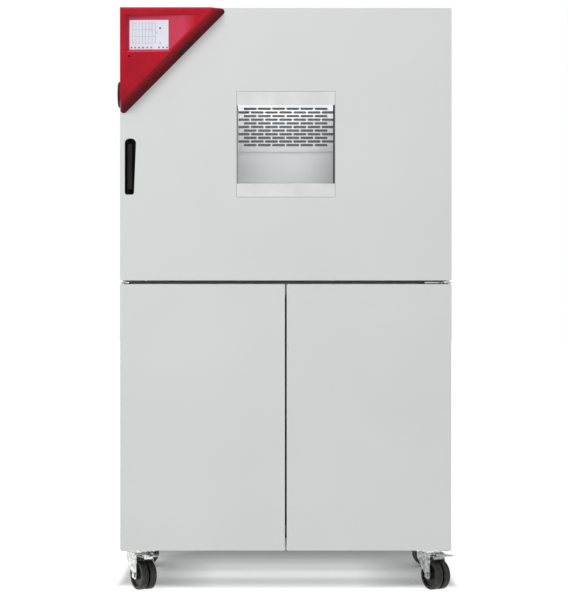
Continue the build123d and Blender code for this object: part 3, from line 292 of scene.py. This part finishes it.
nodeFinish = {
    "base_frame": galvanised, "side_panel_left": powder, "side_panel_right": powder,
    "lower_front_frame": galvanised, "mid_deck": galvanised, "top_panel": powder, "upper_rear_panel": galvanised,
    "machine_rear_panel": galvanised, "front_frame": frameGelcoat, "chamber_insulation": insulation,
    "inner_vessel": chamberSteelPaintedShade, "air_baffle": chamberSteelPaintedShade, "shelf_rails": wireSteel, "shelf": wireSteel,
    "evaporator_coil": coatedCoil, "heater_coil": wireSteel, "fan_motor": coilAluminium,
    "climate_probe": wireSteel, "chamber_lamp": lamp, "port_sleeve": wireSteel, "centre_hinge_bracket": zinc,
    "hinge_brackets": zinc, "caster_plates": zinc, "compressor": enamel, "condenser_coil": coilAluminium,
    "condenser_fan_shroud": galvanised, "steam_humidifier": wireSteel, "water_cans": canPlastic,
    "electrical_box": powder, "power_gland": blackPlastic, "water_fittings": brass,
    "main_switch_plate": blackPlastic, "door_outer_skin": powder, "door_insulation": insulation,
    "door_inner_liner": linerSteel, "door_gasket": seal, "window_frame": frameGelcoat, "window_panes": glass,
    "door_hinge_bushes": blackPlastic, "handle_pocket": blackPlastic, "controller_housing": redHousing,
    "touch_display": screenGlass, "handle_lever": blackPlastic, "port_cover": blackRubber,
    "lower_door_left": powder, "lower_door_right": powder, "fan_impeller": fanPolyamide,
    "condenser_fan": coilAluminium, "port_plug": blackRubber, "main_switch_knob": blackPlastic,
}
for name, node in nodes.items():
    finish = nodeFinish.get(name)
    if name.startswith("caster_wheel"):
        finish = tyre
    elif name.startswith("caster_"):
        finish = zinc
    node.data.materials.clear()
    node.data.materials.append(finish)
print("materials set on the frame's nodes")


def gridFaces(rows, columns):
    # quads between the neighbours of a rows by columns grid whose columns close on themselves
    row, column = np.meshgrid(np.arange(rows - 1), np.arange(columns), indexing="ij")
    after = (column + 1) % columns
    start = row * columns
    corners = [start + column, start + after, start + columns + after, start + columns + column]
    return np.stack(corners, -1).reshape(-1, 4)


def ringAngles(steps):
    # equal steps once round a circle
    return np.linspace(0, 2 * np.pi, steps, endpoint=False)


def worldPoints(name):
    # all the points of a CAD node, in the shared frame
    node = nodes[name]
    points = np.empty(len(node.data.vertices) * 3)
    node.data.vertices.foreach_get("co", points)
    place = np.array(node.matrix_world)
    return points.reshape(-1, 3) @ place[:3, :3].T + place[:3, 3]


def turned(profile, steps):
    # each profile point (radius, height) goes round the z axis: x = radius cos a, y = radius sin a
    profile = np.asarray(profile, float)
    angle = ringAngles(steps)
    x = profile[:, :1] * np.cos(angle)
    y = profile[:, :1] * np.sin(angle)
    z = np.repeat(profile[:, 1:], steps, 1)
    return np.stack([x, y, z], -1).reshape(-1, 3), gridFaces(len(profile), steps)


def facing(outward):
    # three columns that turn local x, y, z so that z points along outward
    z = np.asarray(outward, float) / np.linalg.norm(outward)
    x = np.cross((0, 0, 1) if abs(z[2]) < 0.9 else (0, 1, 0), z)
    x = x / np.linalg.norm(x)
    return np.stack([x, np.cross(z, x), z], -1)


def joined(shapes):
    # several shapes as one: each one's faces count on from the vertices before it
    starts = np.cumsum([0] + [len(vertices) for vertices, faces in shapes[:-1]])
    return (np.concatenate([vertices for vertices, faces in shapes]),
            np.concatenate([faces + start for start, (vertices, faces) in zip(starts, shapes)]))


def copies(shape, places, outward):
    # one shape at many places, each turned to face outward
    vertices, faces = shape
    return joined([(vertices @ facing(outward).T + point, faces) for point in places])


def quads(rectangles, corner, across, up, out):
    # the four corners of each flat rectangle (u, v, width, height): corner + u across + v up, moved out by a hair
    rectangles = np.asarray(rectangles, float)[:, None, :]
    place = rectangles[..., :2] + rectangles[..., 2:] * np.array([(0, 0), (1, 0), (1, 1), (0, 1)])
    vertices = corner + place[..., :1] * across + place[..., 1:] * up + out
    return vertices.reshape(-1, 3), np.arange(4 * len(rectangles)).reshape(-1, 4)


def disc(spot, corner, across, up, out, steps=24):
    # two circles about (u, v), near the middle and at the rim: u + radius cos a, v + radius sin a
    u, v, radius = spot
    radii = np.array([[0.02 * radius], [radius]])
    angle = ringAngles(steps)
    u = (u + radii * np.cos(angle))[..., None]
    v = (v + radii * np.sin(angle))[..., None]
    return (corner + u * across + v * up + out).reshape(-1, 3), gridFaces(2, steps)


def makePiece(name, shape, material, body, smooth=True):
    vertices, faces = shape
    mesh = bpy.data.meshes.new(name)
    mesh.from_pydata(vertices.tolist(), [], faces.tolist())
    mesh.validate()
    mesh.shade_smooth() if smooth else mesh.shade_flat()
    piece = bpy.data.objects.new(name, mesh)
    scene.collection.objects.link(piece)
    mesh.materials.append(material)
    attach(piece, body)


right, upwards = np.array((1.0, 0, 0)), np.array((0, 0, 1.0))
screwSettings = {
    "radius": 0.0042, "height": 0.0022, "steps": 20,
    "radii": (1.0, 1.0, 0.93, 0.8, 0.6, 0.45, 0.38, 0.3, 0.02),
    "heights": (-0.1, 0.45, 0.68, 0.84, 0.95, 1.0, 1.0, 0.35, 0.3),
}


def panHead():
    # a domed head: each pair of the two lists, times the full radius and height, is a point of its profile;
    # the driver's recess dips in the middle
    s = screwSettings
    profile = np.stack([np.array(s["radii"]) * s["radius"], np.array(s["heights"]) * s["height"]], -1)
    return turned(profile, s["steps"])


rearSettings = {"fromEnd": 0.014, "fromSide": 0.010, "perSide": 5, "middleFrom": 0.22, "perEnd": 3}


def rearScrews():
    # a column down each side of both panels and a short row along their ends
    s = rearSettings
    panels = [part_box("upper_rear_panel"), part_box("machine_rear_panel")]
    low, high = panels[0]
    places = []
    for bottom, top in ((box[0].z + s["fromEnd"], box[1].z - s["fromEnd"]) for box in panels):
        places += [(x, high.y, z) for z in np.linspace(bottom, top, s["perSide"])
                   for x in (low.x + s["fromSide"], high.x - s["fromSide"])]
        places += [(x, high.y, z) for x in np.linspace(low.x + s["middleFrom"], high.x - s["middleFrom"], s["perEnd"])
                   for z in (bottom, top)]
    return copies(panHead(), places, (0, 1, 0))


makePiece("rear_panel_screws", rearScrews(), zinc, "cabinet")

foldSettings = {"fromFront": 0.016, "fromLeft": (0.069, 0.317, 0.568)}


def doorEdgeScrews():
    # three screws close the skin's lower fold; they show as bright specks in the gap
    s = foldSettings
    low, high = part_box("door_outer_skin")
    return copies(panHead(), [(low.x + x, low.y + s["fromFront"], low.z) for x in s["fromLeft"]], (0, 0, -1))


makePiece("door_edge_screws", doorEdgeScrews(), zinc, "main_door")
print("screws made")

screenSettings = {
    "lift": 0.00025, "cornerWidth": 0.004,
    "gridColumns": 8, "gridRows": 3, "gridLeft": 0.008, "gridBottom": 0.016, "gridPitch": 0.0086,
    "gridHeight": 0.054, "lineWidth": 0.0011, "rowWidth": 0.6,
    "marks": (0.0056, 0.0147, 0.0254, 0.0361, 0.0471, 0.0578, 0.0787, 0.0897, 0.1),
    "markSize": 0.0034, "markBottom": 0.0034,
    "greyDots": ((0.0725, 0.0435, 0.0018), (0.0822, 0.0168, 0.0022)), "blackDot": (0.0817, 0.0563, 0.0024),
}


def screenPlane():
    # the display's front corners: its foremost points at the left and at the right end
    edge = screenSettings["cornerWidth"]
    points = worldPoints("touch_display")
    left, right = points[:, 0].min(), points[:, 0].max()
    leftY = points[points[:, 0] < left + edge][:, 1].min()
    rightY = points[points[:, 0] > right - edge][:, 1].min()
    across = np.array((right - left, rightY - leftY, 0))
    across = across / np.linalg.norm(across)
    out = np.array((across[1], -across[0], 0)) * screenSettings["lift"]
    return np.array((left, leftY, points[:, 2].min())), across, upwards, out


def screenGraphics():
    # a plain trend picture: pale grid lines, three dots and a row of small buttons
    s = screenSettings
    plane = screenPlane()
    width = s["gridPitch"] * (s["gridColumns"] - 1)
    lines = [(s["gridLeft"] + i * s["gridPitch"], s["gridBottom"], s["lineWidth"], s["gridHeight"])
             for i in range(s["gridColumns"])]
    lines += [(s["gridLeft"], s["gridBottom"] + s["gridHeight"] * i / s["gridRows"], width,
               s["lineWidth"] * s["rowWidth"]) for i in range(s["gridRows"] + 1)]
    pale = joined([quads(lines, *plane)] + [disc(spot, *plane) for spot in s["greyDots"]])
    size = s["markSize"]
    marks = quads([(u - size / 2, s["markBottom"], size, size) for u in s["marks"]], *plane)
    return pale, joined([marks, disc(s["blackDot"], *plane)])


palePicture, darkPicture = screenGraphics()
makePiece("screen_grid", palePicture, inkGrey, "main_door", smooth=False)
makePiece("screen_marks", darkPicture, inkBlack, "main_door", smooth=False)
print("screen picture made")

trimSettings = {
    "hidden": 0.006, "rightPaintedShade": (0.0046, 0.0042), "leftPaintedShade": (0.0008, 0.0016), "paintedShadeLift": 0.0003,
    "paintedLightLeft": 0.0026, "paintedLightShorter": 0.0076, "paintedLightDrop": 0.0136, "paintedLightHeight": 0.0076,
    "paintedLightLift": 0.0002, "grooveWidth": 0.0014, "grooveSunk": 0.0004,
}


def windowTrim():
    # black strips on both sides of the pane, painted shade on the window reveal's sides, a pale strip along its top,
    # painted light standing for the lit top of the window's tunnel, and a grey seal in the groove round the frame
    s = trimSettings
    low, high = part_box("window_frame")
    paneLow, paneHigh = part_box("window_panes")
    wide = high.x - low.x
    bottom, tall = paneLow.z + s["hidden"], paneHigh.z - paneLow.z - 2 * s["hidden"]
    groove = s["grooveWidth"]
    rows = (
        ([(high.x - s["rightPaintedShade"][0], bottom, s["rightPaintedShade"][1], tall),
          (low.x + s["leftPaintedShade"][0], bottom, s["leftPaintedShade"][1], tall)], -s["paintedShadeLift"]),
        ([(low.x - groove, high.z, wide + 2 * groove, groove),
          (low.x - groove, low.z - groove, wide + 2 * groove, groove),
          (low.x - groove, low.z, groove, high.z - low.z), (high.x, low.z, groove, high.z - low.z)], s["grooveSunk"]),
        ([(low.x + s["paintedLightLeft"], paneHigh.z - s["paintedLightDrop"], wide - s["paintedLightShorter"], s["paintedLightHeight"])],
         -s["paintedLightLift"]),
    )
    return [quads(rectangles, np.array((0, low.y + y, 0)), right, upwards, np.zeros(3)) for rectangles, y in rows]


sidePaintedShade, greyGroove, topPaintedLight = windowTrim()
# black strips of painted shade on the window's side reveals; a pale strip of painted light along its top
makePiece("window_side_painted_shade", sidePaintedShade, seal, "main_door", smooth=False)
makePiece("window_groove_seal", greyGroove, grooveSeal, "main_door", smooth=False)
makePiece("window_top_painted_light", topPaintedLight, paintedLightWhite, "main_door", smooth=False)
print("window trim made")


def paintedShadeSheet():
    # painted shade: a flat black sheet close behind the slots of the baffle
    s = baffleSettings
    low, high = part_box("air_baffle")
    sheet = (low.x + s["side"], low.z + s["end"], high.x - low.x - 2 * s["side"], high.z - low.z - 2 * s["end"])
    return quads([sheet], np.array((0, low.y + s["shadeStart"] + s["shadeSheetBehind"], 0)), right, upwards, np.zeros(3))


makePiece("baffle_painted_shade", paintedShadeSheet(), paintedShadeBlack, "cabinet", smooth=False)

slotShadeSettings = {
    "rows": 11, "inLongRow": 7, "length": 0.0365, "height": 0.0055, "pitch": 0.0414, "rowPitch": 0.0106,
    "topDrop": 0.0965, "front": 0.0087, "inner": -0.0002, "outer": 0.0008, "steps": 32, "turn": 0.001,
}


def slotPaintedShade():
    # painted shade round each slot: a black band between two loops of a stadium, whose ends are half circles moved
    # apart
    s = slotShadeSettings
    low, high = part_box("air_baffle")
    angle = ringAngles(s["steps"]) + s["turn"]
    radius = s["height"] / 2 + np.array([[s["inner"]], [s["outer"]]])
    x = np.sign(np.cos(angle)) * (s["length"] - s["height"]) / 2 + radius * np.cos(angle)
    ring = np.stack([x, np.zeros_like(x), radius * np.sin(angle)], -1).reshape(-1, 3)
    places = []
    for row in range(s["rows"]):
        count = s["inLongRow"] - (row + 1) % 2
        z = high.z - s["topDrop"] - row * s["rowPitch"]
        places += [((column - (count - 1) / 2) * s["pitch"], low.y + s["front"], z) for column in range(count)]
    return joined([(ring + place, gridFaces(2, s["steps"])) for place in places])


makePiece("slot_painted_shade", slotPaintedShade(), paintedShadeBlack, "cabinet", smooth=False)
print("baffle finished")

tipSettings = {
    "length": 0.018, "width": 0.03, "thickness": 0.0062, "drop": 0.0012, "setBack": 0.42, "endZone": 0.004,
    "power": 4.0, "endSize": 0.06, "rings": 9, "steps": 40,
}


def roundedBar():
    # each section is a superellipse; the sections shrink at both ends as the root of 1 - t^4
    s = tipSettings
    t = np.linspace(-1, 1, s["rings"])[:, None]
    angle = ringAngles(s["steps"])[None, :]
    shrink = np.sqrt(np.clip(1 - t ** 4, 0, 1)) * (1 - s["endSize"]) + s["endSize"]
    x = t * s["length"] / 2 + 0 * angle
    y, z = (np.sign(wave) * np.abs(wave) ** (2 / s["power"]) * size / 2 * shrink
            for wave, size in ((np.cos(angle), s["width"]), (np.sin(angle), s["thickness"])))
    return np.stack([x, y, z], -1).reshape(-1, 3), gridFaces(s["rings"], s["steps"])


def pedalTip(place):
    # a rubber cap over the pedal's end; the pedal's long direction comes from its own points
    s = tipSettings
    points = worldPoints("caster_brake_" + place)
    middle = points.mean(0)[:2]
    low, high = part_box("caster_fork_" + place)
    forkMiddle = np.array(((low.x + high.x) / 2, (low.y + high.y) / 2))
    direction = np.linalg.svd(points[:, :2] - middle, full_matrices=False)[2][0]
    direction = direction * np.sign(direction @ (middle - forkMiddle))
    along = points[:, :2] @ direction
    end = points[along > along.max() - s["endZone"]].mean(0)
    centre = np.array((*(end[:2] - direction * s["length"] * s["setBack"]), end[2] - s["drop"]))
    columns = np.array(((direction[0], -direction[1], 0), (direction[1], direction[0], 0), upwards))
    vertices, faces = roundedBar()
    return vertices @ columns.T + centre, faces


for place in ("front_left", "front_right"):
    makePiece("pedal_tip_" + place, pedalTip(place), blackRubber, "brake_" + place)
print("pedal tips made")


def seenRays(tree):
    # one for the rays of camera, mirrors and glass, which see the white backdrop, and zero for the others
    rays = addNode(tree, "ShaderNodeLightPath").outputs
    seen = rays["Is Camera Ray"]
    for kind in ("Is Glossy Ray", "Is Transmission Ray"):
        seen = addNode(tree, "ShaderNodeMath", links={0: seen, 1: rays[kind]}, operation="MAXIMUM").outputs[0]
    return seen


# glow: how far the way from glowRear to glowFront has gone, and the floor's painted light there
floorSettings = {
    "reach": 30.0, "open": "#F0F0F0", "paintedShadowTone": "#ACACAC", "paintedShadowEnd": 0.3,
    "glowRear": 0.63, "glowFront": -0.29,
    "glow": ((0.0, 0.0), (0.07, 0.03), (0.16, 0.05), (0.25, 0.08), (0.34, 0.22), (0.425, 0.41), (0.51, 0.445),
             (0.59, 0.6), (0.67, 0.6), (0.75, 0.4), (0.82, 0.4), (0.9, 0.6), (1.0, 1.0)),
    "shadeHalf": 0.44, "shadeEnd": 0.5, "wheelDark": 0.2, "wheelShare": 0.05,
    "behindStart": 0.8, "behindEnd": 1.1, "clearStart": 0.78,
}


def makeFloor():
    # matte white studio paper whose glow is painted light that leaves out the place under the cabinet, where its
    # colour is darkened as a painted shadow
    s = floorSettings
    reach = s["reach"]
    mesh = bpy.data.meshes.new("floor")
    corners = [(-reach, -reach, 0), (reach, -reach, 0), (reach, reach, 0), (-reach, reach, 0)]
    mesh.from_pydata(corners, [], [(0, 1, 2, 3)])
    floor = bpy.data.objects.new("floor", mesh)
    scene.collection.objects.link(floor)
    material, tree, shader, place = startMaterial("paleFloorPaintedLightAndShadow", Roughness=1.0)
    shader.inputs["Specular IOR Level"].default_value = 0.0
    parts = addNode(tree, "ShaderNodeSeparateXYZ", links={"Vector": place})
    side = addNode(tree, "ShaderNodeMath", links={0: parts.outputs["X"]}, operation="ABSOLUTE").outputs[0]
    forward = addNode(tree, "ShaderNodeMapRange", {"From Min": s["glowRear"], "From Max": s["glowFront"]},
                      {"Value": parts.outputs["Y"]}).outputs["Result"]
    ramp = addNode(tree, "ShaderNodeValToRGB", links={"Fac": forward})
    stops = ramp.color_ramp.elements
    for position, value in s["glow"][1:-1]:
        stops.new(position)
    for stop, (position, value) in zip(stops, s["glow"]):
        stop.position = position
        stop.color = (value, value, value, 1)
    # the painted shadow ends softly behind the cabinet, beside it and in front of it
    apart = None
    for along, start, end in ((parts.outputs["Y"], s["behindStart"], s["behindEnd"]),
                              (side, s["shadeHalf"], s["shadeEnd"]), (forward, s["clearStart"], 1.0)):
        edge = addNode(tree, "ShaderNodeMapRange", {"From Min": start, "From Max": end}, {"Value": along},
                       interpolation_type="SMOOTHSTEP").outputs["Result"]
        if apart:
            edge = addNode(tree, "ShaderNodeMath", links={0: apart, 1: edge}, operation="MAXIMUM").outputs[0]
        apart = edge
    # the painted shadow is deeper towards the wheels
    inner = addNode(tree, "ShaderNodeMapRange", {
        "From Min": s["wheelDark"], "From Max": s["shadeHalf"], "To Min": 1.0, "To Max": s["wheelShare"]
    }, {"Value": side}).outputs["Result"]
    near = addNode(tree, "ShaderNodeMath", links={0: ramp.outputs["Color"], 1: inner}, operation="MULTIPLY")
    glow = addNode(tree, "ShaderNodeMath", links={0: near.outputs[0], 1: apart}, operation="MAXIMUM")
    opening = addNode(tree, "ShaderNodeMapRange", {"From Max": s["paintedShadowEnd"]}, {"Value": forward})
    opening = addNode(tree, "ShaderNodeMath", links={0: opening.outputs["Result"], 1: apart}, operation="MAXIMUM")
    # the darker colour under the cabinet is a painted shadow
    tone = addNode(tree, "ShaderNodeMix", {6: linear(s["paintedShadowTone"]), 7: linear(s["open"])},
                   {0: opening.outputs[0]}, data_type="RGBA")
    tree.links.new(tone.outputs[2], shader.inputs["Base Color"])
    # the glow, seen only by camera, mirror and glass rays, is painted light
    shown = addNode(tree, "ShaderNodeMath", links={0: seenRays(tree), 1: glow.outputs[0]}, operation="MULTIPLY")
    shader.inputs["Emission Color"].default_value = linear("#FFFFFF")
    tree.links.new(shown.outputs[0], shader.inputs["Emission Strength"])
    mesh.materials.append(material)


studioSettings = {
    "worldStrength": 0.44, "aim": (0, 0, 0.85),
    # place, power and width of each soft lamp
    "lamps": {
        "key": ((-2.6, -3.2, 3.6), 88.0, 1.3), "fill": ((2.9, -4.0, 2.0), 20.0, 2.6),
        "top": ((0.0, -1.2, 4.2), 40.0, 3.4),
    },
    "lens": 114.88, "sensor": 36.0, "clipEnd": 100.0, "distance": 5.11, "cameraX": -0.0048, "cameraZ": 0.7857,
}


def makeBackdrop():
    # a white backdrop for the seen rays and an even soft light for the others
    world = bpy.data.worlds.new("studio")
    scene.world = world
    world.use_nodes = True
    tree = world.node_tree
    tree.nodes.clear()
    soft, white = (addNode(tree, "ShaderNodeBackground", {"Color": linear("#FFFFFF"), "Strength": strength})
                   for strength in (studioSettings["worldStrength"], 1.0))
    mix = addNode(tree, "ShaderNodeMixShader", links={
        0: seenRays(tree), 1: soft.outputs["Background"], 2: white.outputs["Background"]
    })
    addNode(tree, "ShaderNodeOutputWorld", links={"Surface": mix.outputs["Shader"]})


def makeLamps():
    for name, (point, power, size) in studioSettings["lamps"].items():
        data = bpy.data.lights.new(name, "AREA")
        data.energy = power
        data.size = size
        light = bpy.data.objects.new(name, data)
        scene.collection.objects.link(light)
        light.location = point
        x, y, z = np.array(studioSettings["aim"]) - np.array(point)
        light.rotation_euler = (math.atan2(math.hypot(x, y), -z), 0, math.atan2(x, -y) + math.pi)


def makeCamera():
    s = studioSettings
    lens = bpy.data.cameras.new("camera")
    lens.lens = s["lens"]
    lens.sensor_width = s["sensor"]
    lens.clip_end = s["clipEnd"]
    camera = bpy.data.objects.new("camera", lens)
    scene.collection.objects.link(camera)
    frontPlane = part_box("door_outer_skin")[0].y
    camera.location = (s["cameraX"], frontPlane - s["distance"], s["cameraZ"])
    camera.rotation_euler = (math.pi / 2, 0, 0)
    scene.camera = camera
    scene.view_settings.view_transform = "Standard"


makeFloor()
makeBackdrop()
makeLamps()
makeCamera()
print("stage, lamps and camera set")
